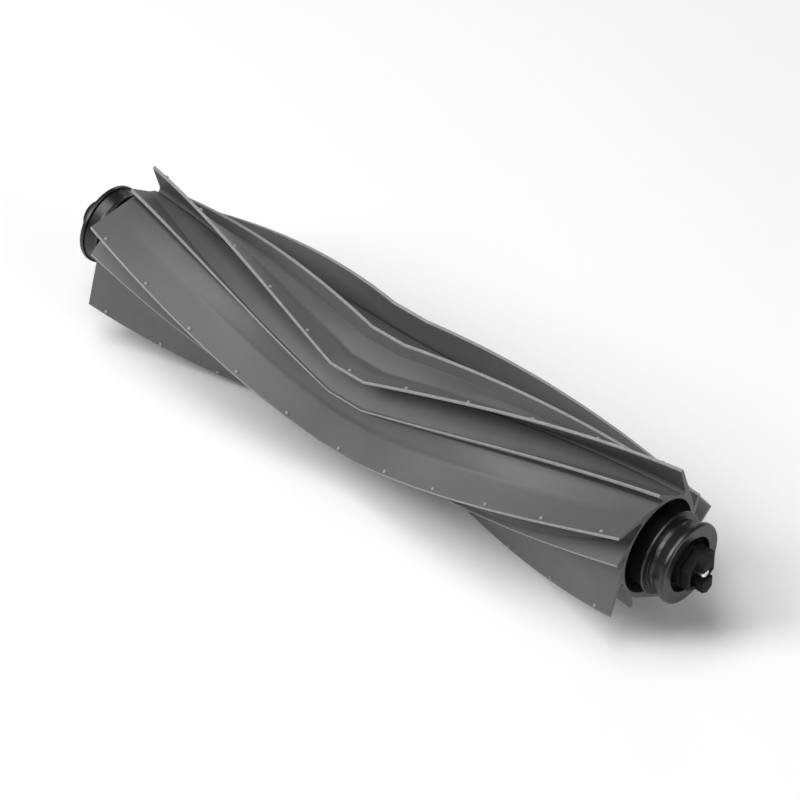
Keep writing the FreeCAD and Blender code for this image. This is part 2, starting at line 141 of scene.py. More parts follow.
class SleeveSizes(bpy.types.PropertyGroup):
    """Rubber sleeve and its blades."""

    blade_count: count("Tall blades", 5, "Tall blades round the sleeve, with short ones between")
    tall_reach: length("Tall reach", 21.0, "Axis to the tip of a tall blade")
    tall_offset: length("Tall offset", 14.1, "Axis to the plane of a tall blade's outer face")
    tall_tip_angle: angle("First tip", 66.6, "First tall tip at the sleeve's ends, from Y towards Z")
    foot_slide: length("Foot slide", 1.9, "Tall foot along its blade, at the sleeve's middle")
    foot_drop: length("Foot drop", 0.5, "Tall foot towards the axis, at the sleeve's middle")
    crease_run: length("Crease run", 7.2, "Foot of a tall blade to its crease")
    crease_drop: length("Crease drop", 2.4, "Dip of the crease at the sleeve's middle")
    root_bulge: length("Root bulge", 0.3, "Rounding out of a tall blade's root, at the sleeve's middle")
    crease_thickness: length("Crease thickness", 1.25, "Thickness of a tall blade at its crease")
    crease_thinning: length("Crease thinning", 0.6, "Loss of that thickness at the sleeve's middle")
    crease_slide: length("Crease slide", 1.7, "Underside of the crease along the blade, at the middle")
    short_reach: length("Short reach", 17.0, "Axis to the tip of a short blade")
    short_offset: length("Short offset", 13.7, "Axis to the plane of a short blade's outer face")
    hem_end_width: length("Hem at the ends", 8.3, "Fold of a short blade to its tip, at the ends")
    hem_width: length("Hem", 0.85, "Fold of a short blade to its tip, at the sleeve's middle")
    hem_end_drop: length("Hem drop at the ends", 0.34, "Dip of that fold at the sleeve's ends")
    hem_drop: length("Hem drop", 0.6, "Dip of that fold at the sleeve's middle")
    hem_haste: number("Hem haste", 4.5, "How fast the hem narrows away from the sleeve's ends")
    tip_thickness: length("Tip thickness", 0.85, "Thickness of every blade at its tip")
    wall_radius: length("Wall radius", 13.5, "Outside of the wall between the blades")
    pocket_lead: angle("Pocket lead", 8.0, "Bottom of a pocket to the next blade's foot, at the ends")
    tall_closing: angle("Tall closing", 7.0, "Pocket under a tall blade, closing to the middle")
    short_closing: angle("Short closing", 15.0, "Pocket under a short blade, closing to the middle")
    twist: angle("Twist", 68.3, "Turn of a blade from the sleeve's end to its middle")
    straight_middle: length("Straight middle", 10.6, "Straight stretch between the chevron's corners")
    lip_radius: length("Lip radius", 12.7, "Inside of the end lip")
    lip_depth: length("Lip depth", 6.5, "Depth of the end lip")
    bore_radius: length("Bore radius", 11.42, "Bore round the core tube")
    tip_round: length("Tip rounding", 0.3, "Rounded edges of a blade's tip")
    foot_round: length("Foot rounding", 1.2, "Soft foot of every blade")
    crease_round: length("Crease rounding", 0.8, "Soft fold along a tall blade")
    pocket_round: length("Pocket rounding", 0.6, "Fillet at the bottom of a pocket")


class NubSizes(bpy.types.PropertyGroup):
    """Small moulded nubs along the tall blades' tips."""

    per_blade: count("Nubs per blade", 11, "Nubs along each tall blade")
    pitch: length("Pitch", 16.2, "Nub to nub along the axis")
    setback: length("Setback", 1.2, "Middle of a nub from the blade's tip")
    radius: length("Radius", 0.5, "Radius of a nub")
    height: length("Height", 0.45, "Height of a nub above the blade")


class FittingSizes(bpy.types.PropertyGroup):
    """Turned and moulded pieces at the roller's ends, measured out from the sleeve's end plane."""

    cover_back: length("Cover back", -3.4, "Inner end of a cover")
    seat_radius: length("Seat radius", 8.6, "Bush seat in a cover")
    seat_depth: length("Seat depth", 7.0, "Length of the bush seat")
    mouth_radius: length("Mouth radius", 7.4, "Mouth of a cover round the key")
    cover_front: length("Cover front", 9.8, "Outer face of a cover")
    rim_radius: length("Rim radius", 10.8, "Rim of a cover")
    rim_width: length("Rim width", 1.4, "Width of the rim")
    neck_radius: length("Neck radius", 9.4, "Hair groove beside the flange")
    flare_reach: length("Flare reach", 5.8, "Where the hair groove starts to flare")
    flare_radius: length("Flare radius", 10.2, "Flare of the hair groove at the rim")
    flange_radius: length("Flange radius", 11.1, "Thin flange of a cover")
    flange_reach: length("Flange reach", 4.0, "Outer face of the flange")
    flange_thickness: length("Flange thickness", 0.7, "Thickness of the flange")
    hub_radius: length("Hub radius", 10.2, "Inner hub of a cover")
    pin_radius: length("Pin radius", 1.25, "Steel pin")
    pin_back: length("Pin back", -8.0, "Inner end of the steel pin")
    pin_front: length("Pin front", 14.6, "Outer end of the steel pin")
    stub_radius: length("Stub radius", 4.0, "Idle stub outside its cover")
    stub_shoulder: length("Stub shoulder", 5.0, "Idle stub inside its cover")
    stub_front: length("Stub front", 15.2, "Outer end of the idle stub")
    shank_radius: length("Shank radius", 4.2, "Shank inside the end plug")
    shank_front: length("Shank front", 4.0, "Outer end of the shank")
    key_bevel: length("Key bevel", 0.16, "Softened edges of the drive key")
    edge_round: length("Edge rounding", 0.2, "Softened edges of the turned pieces")
    rim_round: length("Rim rounding", 0.7, "Rounded front edge of the rim")
    flare_round: length("Flare rounding", 2.0, "Soft start of the flare")
    pin_round: length("Pin rounding", 0.4, "Rounded outer end of the steel pin")
    stub_round: length("Stub rounding", 0.6, "Rounded outer end of the idle stub")


class FinishColours(bpy.types.PropertyGroup):
    """Colours of the finishes."""

    rubber: colour("Rubber", (0.1, 0.1, 0.102), "Grey rubber of the blades")
    # Colour of the painted highlight along the blades' tips and on the nubs, where light catches them.
    rubber_bloom: colour("Rubber bloom", (0.29, 0.29, 0.294), "Pale bloom along the blades' tips")
    plastic: colour("Black plastic", (0.008, 0.008, 0.0085), "Moulded end fittings")
    steel: colour("Steel", (0.9, 0.9, 0.91), "Pins and snap rings")
    bush: colour("Bush", (0.62, 0.60, 0.54), "Bearing bushes")
    felt: colour("Felt", (0.02, 0.02, 0.021), "Dust rings")


class StudioSettings(bpy.types.PropertyGroup):
    """Camera, lights and floor."""

    azimuth: angle("Azimuth", 41.074, "Camera round the roller")
    elevation: angle("Elevation", 42.448, "Camera above the horizon")
    distance: length("Distance", 1086.7, "Camera to the point that it looks at")
    lens: number("Lens", 196.8, "Focal length in millimetres on a 36 mm sensor")
    aim: bpy.props.FloatVectorProperty(
        name="Aim", description="Point that the camera looks at", default=(0.0044, 0.0, -0.0020),
        size=3, unit="LENGTH", subtype="TRANSLATION")
    floor_radius: length("Floor radius", 4000.0, "Half width of the floor")
    floor_gap: length("Floor gap", 0.5, "Floor below the lowest blade tip")
    floor: colour("Floor", (0.9, 0.9, 0.9), "Pale floor")
    sky: number("Sky", 0.14, "Brightness all round")
    key_light: number("Key light", 9.7, "Power of the tall softbox at the front left")
    top_light: number("Top light", 7.6, "Power of the softbox overhead")
    right_light: number("Right light", 6.0, "Power of the softbox low at the right")
    glint_light: number("Glint light", 0.8, "Power of the strip low at the back left")


class NodeSketch:
    """Shorthand for laying out one node tree."""

    def __init__(self, tree):
        self.tree = tree

    def add(self, kind, inputs=None, **settings):
        """New node with its settings, and its inputs linked or set."""
        node = self.tree.nodes.new(kind)
        for name, value in settings.items():
            setattr(node, name, value)
        for key, value in (inputs or {}).items():
            if isinstance(value, bpy.types.NodeSocket):
                self.tree.links.new(value, node.inputs[key])
            else:
                node.inputs[key].default_value = value
        return node

    def math(self, operation, *values):
        """Result of a math node."""
        return self.add("ShaderNodeMath", dict(enumerate(values)), operation=operation).outputs[0]

    def vector_math(self, operation, *values):
        """Result of a vector math node."""
        return self.add("ShaderNodeVectorMath", dict(enumerate(values)), operation=operation).outputs[0]

    def remap(self, value, low, high, to_low, to_high):
        """Value carried from one range to another, held at its ends."""
        return self.add("ShaderNodeMapRange", {
            "Value": value, "From Min": low, "From Max": high,
            "To Min": to_low, "To Max": to_high}).outputs[0]

    def attribute(self, name, kind):
        """Named attribute of the geometry."""
        return self.add("GeometryNodeInputNamedAttribute", {"Name": name}, data_type=kind).outputs[0]

    def dress(self, geometry, finish):
        """End of a tree: real geometry with its material."""
        real = self.add("GeometryNodeRealizeInstances", {"Geometry": geometry}).outputs[0]
        dressed = self.add("GeometryNodeSetMaterial", {"Geometry": real, "Material": finish}).outputs[0]
        self.add("NodeGroupOutput", {0: dressed})


def geometry_tree(name, inputs):
    """Geometry Nodes tree with a geometry in, named inputs and a geometry out."""
    tree = bpy.data.node_groups.new(name, "GeometryNodeTree")
    tree.interface.new_socket("Geometry", in_out="INPUT", socket_type="NodeSocketGeometry")
    for label, kind in inputs.items():
        tree.interface.new_socket(label, in_out="INPUT", socket_type=f"NodeSocket{kind}")
    tree.interface.new_socket("Geometry", in_out="OUTPUT", socket_type="NodeSocketGeometry")
    return tree


def plain_mesh(piece):
    """Turn a piece with modifiers into a plain mesh."""
    bpy.context.view_layer.update()
    graph = bpy.context.evaluated_depsgraph_get()
    finished = bpy.data.meshes.new_from_object(piece.evaluated_get(graph), depsgraph=graph)
    if not finished.polygons:
        raise RuntimeError(f"{piece.name} came out empty")
    piece.modifiers.clear()
    piece.data = finished
    finished.name = piece.name
    return piece


def grow(piece, tree, values):
    """Run a Geometry Nodes tree on a piece, and keep the result as a plain mesh."""
    modifier = piece.modifiers.new(tree.name, "NODES")
    modifier.node_group = tree
    for socket in tree.interface.items_tree:
        if socket.in_out == "INPUT" and socket.name in values:
            modifier[socket.identifier] = values[socket.name]
    return plain_mesh(piece)


def new_piece(name, mesh):
    """Object for a mesh, at the origin."""
    piece = bpy.data.objects.new(name, mesh)
    bpy.context.scene.collection.objects.link(piece)
    return piece


def mesh_from(name, shape):
    """Mesh of a bmesh, which is freed."""
    mesh = bpy.data.meshes.new(name)
    shape.to_mesh(mesh)
    shape.free()
    return mesh


def smooth(mesh):
    """Smooth shading, with a crease where faces meet at a steep angle."""
    mesh.polygons.foreach_set("use_smooth", [True] * len(mesh.polygons))
    mesh.set_sharp_from_angle(angle=SMOOTH_UNDER)


class Corner(NamedTuple):
    """Corner of an outline, with its rounding, its painted highlight and its haste towards the middle.
    """

    point: Vector
    radius: float = 0.0
    bloom: float = 0.0
    haste: float = 1.0


def rounded_loop(corners):
    """Closed outline with an arc at each rounded corner, and a support point on both its sides."""
    points = []
    total = len(corners)
    for index, corner in enumerate(corners):
        if not corner.radius:
            points.append(corner)
            continue
        before = corners[index - 1]
        after = corners[(index + 1) % total]
        back = before.point - corner.point
        ahead = after.point - corner.point
        room = CORNER_ROOM * min(back.length, ahead.length)
        back_gap = min(SUPPORT, SUPPORT_ROOM * back.length)
        ahead_gap = min(SUPPORT, SUPPORT_ROOM * ahead.length)
        back.normalize()
        ahead.normalize()
        half = math.acos(max(-1.0, min(1.0, back.dot(ahead)))) / 2
        straight = half > STRAIGHT
        trim = min(corner.radius if straight else corner.radius / math.tan(half), room)
        start = corner.point + back * trim
        end = corner.point + ahead * trim
        arc = [start.lerp(end, step / ARC_STEPS) for step in range(ARC_STEPS + 1)]
        if not straight:
            centre = corner.point + (back + ahead).normalized() * (trim / math.cos(half))
            radius = (start - centre).length
            arc = [centre + (point - centre).normalized() * radius for point in arc]
        entry = corner.point + back * (trim + back_gap)
        leave = corner.point + ahead * (trim + ahead_gap)
        points.append(corner._replace(point=entry, bloom=min(corner.bloom, before.bloom)))
        points += [corner._replace(point=point) for point in arc]
        points.append(corner._replace(point=leave, bloom=min(corner.bloom, after.bloom)))
    return points


def axis_ring(shape, along, radius):
    """Points round the axis, or the one point on it."""
    if radius < SEAM:
        return [shape.verts.new((along, 0.0, 0.0))] * LATHE_STEPS
    ring = []
    for step in range(LATHE_STEPS):
        turn = math.tau * step / LATHE_STEPS
        ring.append(shape.verts.new((along, radius * math.cos(turn), radius * math.sin(turn))))
    return ring


def join_rings(shape, ring, following):
    """Faces between two rings, which come to a point where one lies on the axis."""
    for step in range(LATHE_STEPS):
        beside = (step + 1) % LATHE_STEPS
        corners = dict.fromkeys((ring[step], ring[beside], following[beside], following[step]))
        if len(corners) > 2:
            shape.faces.new(corners)


def lathe(name, corners, side):
    """Closed turned piece from its corners (along, radius, rounding), at one end of the roller."""
    outline = rounded_loop([Corner(Vector(place), rounding) for *place, rounding in corners])
    shape = bmesh.new()
    rings = [axis_ring(shape, side * (SLEEVE_END + point.x), point.y) for point, *_ in outline]
    for index, ring in enumerate(rings):
        join_rings(shape, ring, rings[(index + 1) % len(rings)])
    bmesh.ops.recalc_face_normals(shape, faces=shape.faces)
    mesh = mesh_from(name, shape)
    smooth(mesh)
    return new_piece(name, mesh)


def finish_piece(piece, body, slot, *nodes):
    """Let a piece ride on its body, stand for its nodes and take its finish."""
    if not piece.data.materials:
        piece.data.materials.append(FINISHES[slot])
    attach(piece, body)
    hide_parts(*nodes)


def blade_corners(sizes, tall, foot_angle, middle_share):
    """Corners of one leaning blade across the axis."""
    outer = sizes.tall_offset if tall else sizes.short_offset
    reach = sizes.tall_reach if tall else sizes.short_reach
    closing = sizes.tall_closing if tall else sizes.short_closing
    run = math.sqrt(reach ** 2 - outer ** 2)
    soft = sizes.tip_round
    # The tip corners carry the full painted highlight of the tip's edge.
    tip = [
        Corner(Vector((outer, run)), soft, bloom=1.0),
        Corner(Vector((outer - sizes.tip_thickness, run)), soft, bloom=1.0)]
    if tall:
        crease = Vector((outer - sizes.crease_drop * middle_share, sizes.crease_run))
        thickness = sizes.crease_thickness - sizes.crease_thinning * middle_share
        underside = crease + Vector((-thickness, sizes.crease_slide * middle_share))
        foot = Vector((outer - sizes.foot_drop * middle_share, sizes.foot_slide * middle_share))
        root = crease - foot
        bulge = Vector((root.y, -root.x)).normalized() * sizes.root_bulge * middle_share
        bends = [foot + root * share + bulge for share in ROOT_BENDS]
        corners = [
            Corner(foot, sizes.foot_round), *(Corner(bend, sizes.wall_radius) for bend in bends),
            Corner(crease, sizes.crease_round), *tip, Corner(underside, sizes.crease_round)]
    else:
        drop = sizes.hem_end_drop + (sizes.hem_drop - sizes.hem_end_drop) * middle_share
        hem = sizes.hem_end_width + (sizes.hem_width - sizes.hem_end_width) * middle_share
        corners = [
            Corner(Vector((outer, 0.0)), sizes.foot_round),
            Corner(Vector((outer - drop, run - hem)), soft, haste=sizes.hem_haste), *tip]
    pocket = math.pi / sizes.blade_count - sizes.pocket_lead + closing * middle_share
    bottom = Vector((math.cos(pocket), math.sin(pocket))) * sizes.wall_radius
    corners.append(Corner(bottom, sizes.pocket_round))
    turn = Matrix.Rotation(foot_angle, 2)
    return [corner._replace(point=turn @ corner.point) for corner in corners]


def first_foot(sizes):
    """Angle of the first tall blade's foot at the sleeve's ends."""
    return sizes.tall_tip_angle - math.acos(sizes.tall_offset / sizes.tall_reach)


def sleeve_outline(sizes, middle_share):
    """Rounded outline of the whole sleeve across the axis."""
    corners = []
    sector = math.tau / sizes.blade_count
    for index in range(sizes.blade_count):
        foot = first_foot(sizes) + sector * index
        corners += blade_corners(sizes, True, foot, middle_share)
        corners += blade_corners(sizes, False, foot + sector / 2, middle_share)
    return rounded_loop(corners)


def fill_end(shape, outline, lip):
    """Close a cut end of the sleeve between its outline and its lip."""
    corners = [*outline, *lip]
    edges = []
    for first, loop in ((0, outline), (len(outline), lip)):
        edges += [(first + step, first + (step + 1) % len(loop)) for step in range(len(loop))]
    flat = [corner.co.yz for corner in corners]
    _, _, triangles, sources, _, _ = delaunay_2d_cdt(flat, edges, [], INSIDE, SEAM)
    for triangle in triangles:
        picked = [sources[point][0] for point in triangle]
        if min(picked) < len(outline):
            shape.faces.new([corners[point] for point in picked])


def sleeve_ends(sizes):
    """Cut ends, lips and bore of the sleeve, with its outline's points first."""
    at_end = sleeve_outline(sizes, 0.0)
    at_middle = sleeve_outline(sizes, 1.0)
    shape = bmesh.new()
    to_middle = shape.verts.layers.float_vector.new("to_middle")
    # Share of painted highlight on each outline point, carried to the skin.
    bloom = shape.verts.layers.float.new("bloom")
    haste = shape.verts.layers.float.new("haste")
    outlines = []
    for side in SIDES.values():
        ring = []
        for end, middle in zip(at_end, at_middle):
            vertex = shape.verts.new((side * SLEEVE_END, *end.point))
            vertex[to_middle] = (0.0, *(middle.point - end.point))
            vertex[bloom] = end.bloom
            vertex[haste] = end.haste
            ring.append(vertex)
        outlines.append(ring)
    depth = SLEEVE_END - sizes.lip_depth
    wall = [
        (SLEEVE_END, sizes.lip_radius), (depth, sizes.lip_radius), (depth, sizes.bore_radius),
        (-depth, sizes.bore_radius), (-depth, sizes.lip_radius), (-SLEEVE_END, sizes.lip_radius)]
    rings = [axis_ring(shape, along, radius) for along, radius in wall]
    for ring, following in zip(rings, rings[1:]):
        join_rings(shape, ring, following)
    for outline, lip in zip(outlines, (rings[0], rings[-1])):
        fill_end(shape, outline, lip)
    return mesh_from("rubber_sleeve_ends", shape), len(at_end)


def sleeve_tree():
    """Skin of the sleeve: the outline carried along the axis, turned and creased towards the middle."""
    tree = geometry_tree("chevron_skin", {
        "Half Length": "Float", "Straight Middle": "Float", "Twist": "Float", "Outline Points": "Int",
        "Rings": "Int", "Finish": "Material"})
    sketch = NodeSketch(tree)
    given = sketch.add("NodeGroupInput").outputs
    columns = sketch.math("ADD", given["Outline Points"], 1)
    skin = sketch.add("GeometryNodeMeshGrid", {
        "Size X": 2.0, "Size Y": 1.0, "Vertices X": given["Rings"], "Vertices Y": columns}).outputs[0]
    index = sketch.add("GeometryNodeInputIndex").outputs[0]
    column = sketch.math("MODULO", index, columns)
    along_outline = sketch.math("MODULO", column, given["Outline Points"])
    place = sketch.add("GeometryNodeInputPosition").outputs[0]
    to_middle = sketch.attribute("to_middle", "FLOAT_VECTOR")
    bloom = sketch.attribute("bloom", "FLOAT")
    haste = sketch.attribute("haste", "FLOAT")

    def sampled(value, kind):
        """Value of the outline's point in this column."""
        inputs = {0: given["Geometry"], 1: value, 2: along_outline}
        return sketch.add("GeometryNodeSampleIndex", inputs, data_type=kind, domain="POINT").outputs[0]

    parts = sketch.add("ShaderNodeSeparateXYZ", {0: place}).outputs
    share = sketch.math("ABSOLUTE", parts["X"])
    corner = sketch.math("MULTIPLY", given["Straight Middle"], 0.5)
    slope = sketch.math("SUBTRACT", given["Half Length"], corner)
    reach = sketch.math(
        "ADD", sketch.remap(share, 0.0, MIDDLE_SHARE, 0.0, corner),
        sketch.remap(share, MIDDLE_SHARE, 1.0, 0.0, slope))
    along = sketch.math("MULTIPLY", reach, sketch.math("SIGN", parts["X"]))
    middleness = sketch.remap(share, MIDDLE_SHARE, 1.0, 1.0, 0.0)
    endness = sketch.math("SUBTRACT", 1.0, middleness)
    left_over = sketch.math("POWER", endness, sampled(haste, "FLOAT"))
    across = sketch.vector_math(
        "MULTIPLY_ADD", sampled(to_middle, "FLOAT_VECTOR"), sketch.math("SUBTRACT", 1.0, left_over),
        sampled(place, "FLOAT_VECTOR"))
    turned = sketch.add("ShaderNodeVectorRotate", {
        "Vector": across, "Angle": sketch.math("MULTIPLY", given["Twist"], middleness)},
        rotation_type="X_AXIS").outputs[0]
    yz = sketch.add("ShaderNodeSeparateXYZ", {0: turned}).outputs
    position = sketch.add("ShaderNodeCombineXYZ", {"X": along, "Y": yz["Y"], "Z": yz["Z"]}).outputs[0]
    # The skin keeps each point's share of painted highlight for the rubber finish.
    bloomed = sketch.add("GeometryNodeStoreNamedAttribute", {
        "Geometry": skin, "Name": "bloom", "Value": sampled(bloom, "FLOAT")},
        data_type="FLOAT", domain="POINT").outputs[0]
    shaped = sketch.add("GeometryNodeSetPosition", {
        "Geometry": bloomed, "Position": position}).outputs[0]
    whole = sketch.add("GeometryNodeJoinGeometry")
    for part in (given["Geometry"], shaped):
        tree.links.new(part, whole.inputs[0])
    closed = sketch.add("GeometryNodeMergeByDistance", {
        "Geometry": whole.outputs[0], "Distance": SEAM}).outputs[0]
    sketch.dress(closed, given["Finish"])
    return tree


def nub_tree():
    """Nubs in rows along the tall blades' tips, following the chevron."""
    tree = geometry_tree("tip_nubs", {
        "Blades": "Int", "Nubs Per Blade": "Int", "Pitch": "Float", "First Foot": "Float",
        "Half Length": "Float", "Straight Middle": "Float", "Twist": "Float", "Out": "Float",
        "Drop": "Float", "Lean": "Float", "Along Blade": "Float", "Finish": "Material"})
    sketch = NodeSketch(tree)
    given = sketch.add("NodeGroupInput").outputs
    total = sketch.math("MULTIPLY", given["Blades"], given["Nubs Per Blade"])
    row = sketch.add("GeometryNodeMeshLine", {"Count": total}).outputs[0]
    index = sketch.add("GeometryNodeInputIndex").outputs[0]
    station = sketch.math("MODULO", index, given["Nubs Per Blade"])
    blade = sketch.math("FLOOR", sketch.math("DIVIDE", index, given["Nubs Per Blade"]))
    middle = sketch.math("MULTIPLY", sketch.math("SUBTRACT", given["Nubs Per Blade"], 1), 0.5)
    along = sketch.math("MULTIPLY", sketch.math("SUBTRACT", station, middle), given["Pitch"])
    corner = sketch.math("MULTIPLY", given["Straight Middle"], 0.5)
    middleness = sketch.remap(sketch.math("ABSOLUTE", along), corner, given["Half Length"], 1.0, 0.0)
    sector = sketch.math("DIVIDE", math.tau, given["Blades"])
    foot = sketch.math("MULTIPLY_ADD", blade, sector, given["First Foot"])
    turn = sketch.math("MULTIPLY_ADD", given["Twist"], middleness, foot)
    out = sketch.math("SUBTRACT", given["Out"], sketch.math("MULTIPLY", given["Drop"], middleness))
    flat = sketch.add("ShaderNodeCombineXYZ", {
        "X": along, "Y": out, "Z": given["Along Blade"]}).outputs[0]
    spot = sketch.add(
        "ShaderNodeVectorRotate", {"Vector": flat, "Angle": turn}, rotation_type="X_AXIS").outputs[0]
    placed = sketch.add("GeometryNodeSetPosition", {"Geometry": row, "Position": spot}).outputs[0]
    lean = sketch.math("SUBTRACT", turn, sketch.math("MULTIPLY", given["Lean"], middleness))
    stance = sketch.add("ShaderNodeCombineXYZ", {"X": lean}).outputs[0]
    nubs = sketch.add("GeometryNodeInstanceOnPoints", {
        "Points": placed, "Instance": given["Geometry"], "Rotation": stance}).outputs[0]
    sketch.dress(nubs, given["Finish"])
    return tree


def nub_mesh(sizes):
    """One domed nub that stands along Y, with its root a little below the blade's face."""
    shape = bmesh.new()
    rings = []
    for height, share in ((-NUB_ROOT, 1.0), *NUB_DOME):
        ring = []
        for step in range(NUB_STEPS):
            turn = math.tau * step / NUB_STEPS
            radius = sizes.radius * share
            ring.append(shape.verts.new((
                radius * math.cos(turn), sizes.height * height, radius * math.sin(turn))))
        rings.append(ring)
    for ring, following in zip(rings, rings[1:]):
        for step in range(NUB_STEPS):
            beside = (step + 1) % NUB_STEPS
            shape.faces.new((ring[step], ring[beside], following[beside], following[step]))
    shape.faces.new(rings[0])
    top = shape.verts.new((0.0, sizes.height, 0.0))
    for step in range(NUB_STEPS):
        shape.faces.new((rings[-1][step], rings[-1][(step + 1) % NUB_STEPS], top))
    bmesh.ops.recalc_face_normals(shape, faces=shape.faces)
    mesh = mesh_from("tip_nub", shape)
    # The whole nub is painted full highlight.
    bloom = mesh.attributes.new("bloom", "FLOAT", "POINT")
    bloom.data.foreach_set("value", [1.0] * len(mesh.vertices))
    smooth(mesh)
    return mesh


class Finish(NodeSketch):
    """One procedural material on Object coordinates."""

    def __init__(self, name):
        self.material = bpy.data.materials.new(name)
        self.material.use_nodes = True
        super().__init__(self.material.node_tree)
        self.tree.nodes.clear()
        self.shader = self.add("ShaderNodeBsdfPrincipled")
        self.add("ShaderNodeOutputMaterial", {"Surface": self.shader.outputs[0]})
        self.place = self.add("ShaderNodeTexCoord").outputs["Object"]

    def set(self, **values):
        """Values on the shader's own sockets, named with underscores for spaces."""
        for name, value in values.items():
            self.shader.inputs[name.replace("_", " ")].default_value = value

    def feed(self, socket, value):
        """Link a value into the shader."""
        self.tree.links.new(value, self.shader.inputs[socket])

    def noise(self, scale, detail=4.0, stretch=None):
        """Noise with its scale in waves per metre, stretched along the axes if asked."""
        place = self.place
        if stretch:
            place = self.add("ShaderNodeMapping", {"Vector": place, "Scale": stretch}).outputs[0]
        return self.add(
            "ShaderNodeTexNoise", {"Vector": place, "Scale": scale, "Detail": detail}).outputs[0]

    def spread(self, noise, low, high, span=NOISE_SPAN):
        """Noise carried from its usual range to another."""
        return self.remap(noise, 0.5 - span / 2, 0.5 + span / 2, low, high)

    def blend(self, share, first, second):
        """Two colours mixed by a share."""
        return self.add(
            "ShaderNodeMix", {0: share, 6: first, 7: second}, data_type="RGBA").outputs[2]

    def bump(self, height, distance):
        """Surface relief from a height."""
        self.feed("Normal", self.add(
            "ShaderNodeBump", {"Height": height, "Strength": 1.0, "Distance": distance}).outputs[0])


def tint(value, factor=1.0):
    """Colour with full opacity, made lighter or darker by a factor."""
    return (*(min(1.0, channel * factor) for channel in value), 1.0)


def rubber_finish(scene):
    """Satin grey rubber with a fine moulded skin, faint clouds, and a painted highlight along its tips
    and on the nubs.
    """
    colours = scene.roller_brush_colours
    finish = Finish("satin_rubber")
    clouds = finish.spread(finish.noise(scale=55.0, detail=3.0), low=0.0, high=1.0)
    body = finish.blend(clouds, tint(colours.rubber, 0.93), tint(colours.rubber, 1.06))
    # Painted highlight: patchy pale colour where the tips and nubs catch the light.
    bloom = finish.add("ShaderNodeAttribute", attribute_name="bloom").outputs["Fac"]
    patches = finish.spread(finish.noise(scale=900.0, detail=2.0), low=0.6, high=1.0, span=0.5)
    highlight_share = finish.math("MULTIPLY", bloom, patches)
    finish.feed("Base Color", finish.blend(highlight_share, body, tint(colours.rubber_bloom)))
    grain = finish.noise(scale=5200.0, detail=3.0)
    finish.feed("Roughness", finish.spread(grain, low=0.46, high=0.58))
    finish.bump(grain, distance=0.012 * MM)
    finish.set(Specular_IOR_Level=0.42)
    return finish.material


def plastic_finish(scene):
    """Fine-grained black plastic: satin covers, a matt key, and a dull black darkened as painted shade
    behind the flanges.
    """
    colours = scene.roller_brush_colours
    sizes = scene.roller_brush_fittings
    finish = Finish("moulded_plastic")
    edge = sizes.edge_round
    flange_back = SLEEVE_END + sizes.flange_reach - sizes.flange_thickness
    along = finish.add("ShaderNodeSeparateXYZ", {0: finish.place}).outputs["X"]
    reach = finish.math("ABSOLUTE", along)
    across = finish.vector_math("MULTIPLY", finish.place, (0.0, 1.0, 1.0))
    radius = finish.add("ShaderNodeVectorMath", {0: across}, operation="LENGTH").outputs["Value"]
    outside = finish.remap(reach, flange_back, flange_back + edge, 0.0, 1.0)
    cover = finish.remap(radius, sizes.mouth_radius - edge, sizes.mouth_radius, 0.0, 1.0)
    satin = finish.math("MULTIPLY", outside, cover)
    matt = finish.math("SUBTRACT", 1.0, satin)
    clouds = finish.noise(scale=120.0, detail=3.0)
    skin = finish.blend(clouds, tint(colours.plastic, 0.8), tint(colours.plastic, 1.25))
    front = finish.blend(cover, tint(colours.plastic, 1.5), skin)
    # Behind the flanges the black is darkened to 0.3 of its tone: painted shade in the recess.
    finish.feed("Base Color", finish.blend(outside, tint(colours.plastic, 0.3), front))
    grain = finish.noise(scale=4200.0, detail=4.0)
    rough = finish.spread(grain, low=0.26, high=0.36)
    matt_roughness = 0.4
    finish.feed("Roughness", finish.math("MULTIPLY_ADD", matt, matt_roughness, rough))
    matt_gloss, satin_gloss = 0.12, 0.5
    finish.feed("Specular IOR Level", finish.remap(satin, 0.0, 1.0, matt_gloss, satin_gloss))
    finish.bump(grain, distance=0.01 * MM)
    return finish.material


def steel_finish(scene):
    """Bright drawn steel with fine lines round it."""
    colours = scene.roller_brush_colours
    finish = Finish("drawn_steel")
    lines = finish.noise(scale=700.0, detail=3.0, stretch=(9.0, 1.0, 1.0))
    finish.feed("Base Color", finish.blend(lines, tint(colours.steel, 0.86), tint(colours.steel, 1.06)))
    finish.feed("Roughness", finish.spread(lines, low=0.26, high=0.4))
    finish.bump(lines, distance=0.004 * MM)
    finish.set(Metallic=1.0)
    return finish.material


def bush_finish(scene):
    """Pale bearing plastic with turning marks."""
    colours = scene.roller_brush_colours
    finish = Finish("bearing_plastic")
    marks = finish.noise(scale=260.0, detail=3.0, stretch=(12.0, 1.0, 1.0))
    finish.feed("Base Color", finish.blend(marks, tint(colours.bush, 0.9), tint(colours.bush, 1.05)))
    finish.feed("Roughness", finish.spread(marks, low=0.3, high=0.44))
    finish.bump(marks, distance=0.006 * MM)
    return finish.material


def felt_finish(scene):
    """Dark pressed felt with short loose fibres."""
    colours = scene.roller_brush_colours
    finish = Finish("pressed_felt")
    fibres = finish.noise(scale=2600.0, detail=6.0)
    finish.feed("Base Color", finish.blend(fibres, tint(colours.felt, 0.5), tint(colours.felt, 1.7)))
    finish.bump(fibres, distance=0.08 * MM)
    finish.set(Roughness=0.95, Sheen_Weight=0.1, Sheen_Roughness=0.5)
    return finish.material


FINISH_MAKERS = {
    "grey_rubber": rubber_finish, "black_plastic": plastic_finish, "steel": steel_finish,
    "bush_plastic": bush_finish, "felt": felt_finish}


